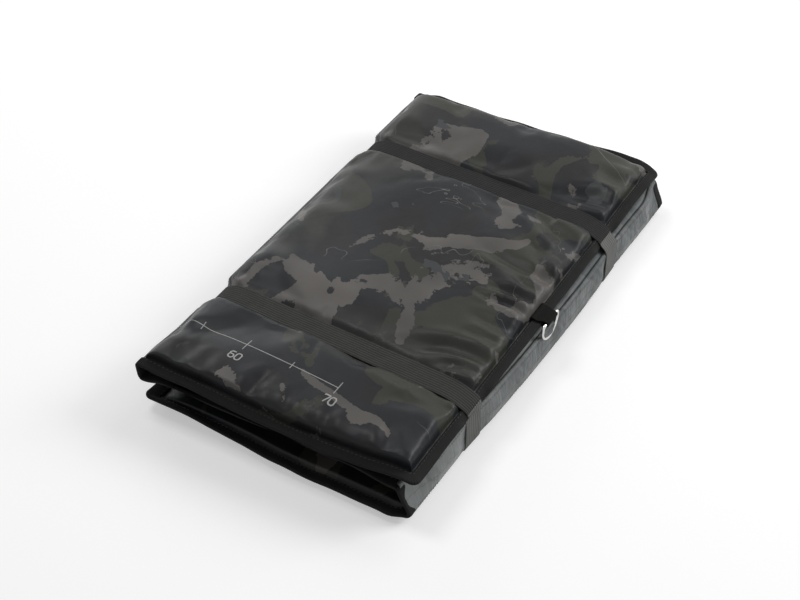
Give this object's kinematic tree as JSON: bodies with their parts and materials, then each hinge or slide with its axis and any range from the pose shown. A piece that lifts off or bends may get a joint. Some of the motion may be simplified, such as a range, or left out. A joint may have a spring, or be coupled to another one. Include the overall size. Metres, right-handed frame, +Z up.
{
  "type": "unhooking mat",
  "caption": "Folded padded carp unhooking mat with bound edges, a concertina fold, elastic closing straps and a D-ring on a webbing tab.",
  "frame": {"origin": "middle of the bottom panel's flat underside, on the floor", "axes": "+X the folded mat's short way, towards the side with the D-ring; +Y its long way; +Z up"},
  "size_m": [0.297, 0.5142, 0.0663],
  "materials": {
    "camouflage_cover": "coated cloth with a dark camouflage print, semi-gloss",
    "coated_underside": "coated cloth, grey-green, satin",
    "closed_cell_foam": "matt foam",
    "grosgrain_tape": "woven, matt",
    "ribbed_elastic": "woven ribs, matt",
    "nickel_plate": "plated wire, bright"
  },
  "bodies": {
    "bottom_panel": {"bottom_foam": "closed_cell_foam", "bottom_upper_skin": "camouflage_cover", "bottom_lower_skin": "coated_underside", "bottom_binding": "grosgrain_tape"},
    "lower_spine": {"lower_spine_inner_ply": "camouflage_cover", "lower_spine_outer_ply": "coated_underside", "lower_spine_near_binding": "grosgrain_tape", "lower_spine_far_binding": "grosgrain_tape"},
    "middle_panel": {"middle_foam": "closed_cell_foam", "middle_upper_skin": "coated_underside", "middle_lower_skin": "camouflage_cover", "middle_near_binding": "grosgrain_tape", "middle_far_binding": "grosgrain_tape"},
    "upper_spine": {"upper_spine_inner_ply": "coated_underside", "upper_spine_outer_ply": "camouflage_cover", "upper_spine_near_binding": "grosgrain_tape", "upper_spine_far_binding": "grosgrain_tape"},
    "top_panel": {"top_foam": "closed_cell_foam", "top_upper_skin": "camouflage_cover", "top_lower_skin": "coated_underside", "top_binding": "grosgrain_tape", "ring_tab": "grosgrain_tape", "front_strap_over": "ribbed_elastic", "rear_strap_over": "ribbed_elastic", "front_strap_under": "ribbed_elastic", "rear_strap_under": "ribbed_elastic"},
    "d_ring": {"d_ring": "nickel_plate"}
  },
  "joints": [
    {"name": "unfold", "type": "hinge", "parent": "bottom_panel", "child": "lower_spine", "pos_m": [0.142, 0, 0.007], "axis": [0, 1, 0], "range_deg": [0, 90]},
    {"name": "middle_fold", "type": "hinge", "parent": "lower_spine", "child": "middle_panel", "pos_m": [0.142, 0, 0.0354], "axis": [0, 1, 0], "range_deg": [0, 90]},
    {"name": "upper_fold", "type": "hinge", "parent": "middle_panel", "child": "upper_spine", "pos_m": [-0.142, 0, 0.0354], "axis": [0, -1, 0], "range_deg": [0, 90]},
    {"name": "top_fold", "type": "hinge", "parent": "upper_spine", "child": "top_panel", "pos_m": [-0.142, 0, 0.0498], "axis": [0, -1, 0], "range_deg": [0, 90], "deforming": ["front_strap_under", "rear_strap_under"]},
    {"name": "ring_swing", "type": "hinge", "parent": "top_panel", "child": "d_ring", "pos_m": [0.1472, -0.012, 0.0498], "axis": [0, -1, 0], "range_deg": [0, 150]}
  ],
  "couplings": [
    {"joint": "middle_fold", "follows": "unfold", "ratio": 1},
    {"joint": "upper_fold", "follows": "unfold", "ratio": 1},
    {"joint": "top_fold", "follows": "unfold", "ratio": 1}
  ]
}
